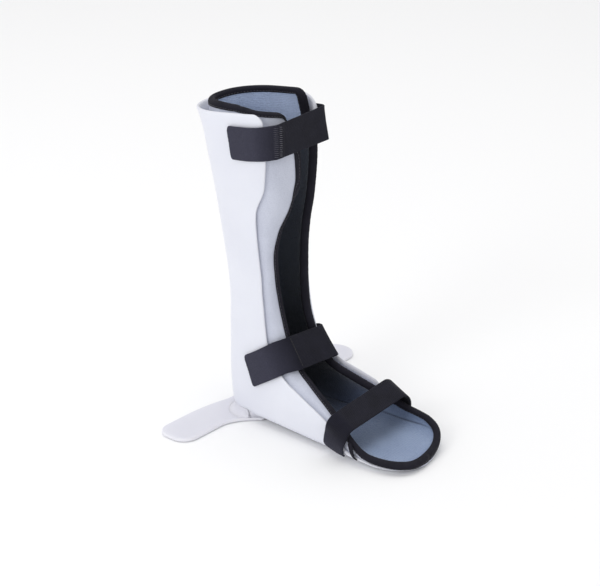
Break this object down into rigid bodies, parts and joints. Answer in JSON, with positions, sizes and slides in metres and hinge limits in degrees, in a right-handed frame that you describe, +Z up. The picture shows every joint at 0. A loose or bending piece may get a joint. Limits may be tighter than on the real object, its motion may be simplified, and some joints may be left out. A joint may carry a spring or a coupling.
{
  "type": "derotation ankle foot orthosis",
  "caption": "Lower-leg and foot splint: rigid white trough shell with padded liner, black edge tape and straps, and a flat cross bar under the heel that stops the leg rolling.",
  "frame": {"origin": "point on the flat underside of the cross bar, under the heel in the leg's middle plane, 25 mm behind the bar's front edge there", "axes": "+Z up along the leg, -Y toward the toes, +X toward the wearer's left side"},
  "size_m": [0.284, 0.2866, 0.3423],
  "materials": {
    "shell": "satin moulded polypropylene",
    "derotation_bar": "satin polypropylene sheet",
    "liner": "foam laminated with knit cloth",
    "binding": "folded knit tape",
    "strap": "loop webbing",
    "rivet": "domed"
  },
  "bodies": {
    "root": {"shell": "shell", "derotation_bar": "derotation_bar", "liner": "liner", "binding": "binding", "binding_tail": "binding", "calf_strap": "strap", "ankle_strap": "strap", "toe_strap": "strap", "calf_rivet": "rivet", "ankle_rivet": "rivet", "toe_rivet": "rivet"}
  },
  "joints": []
}
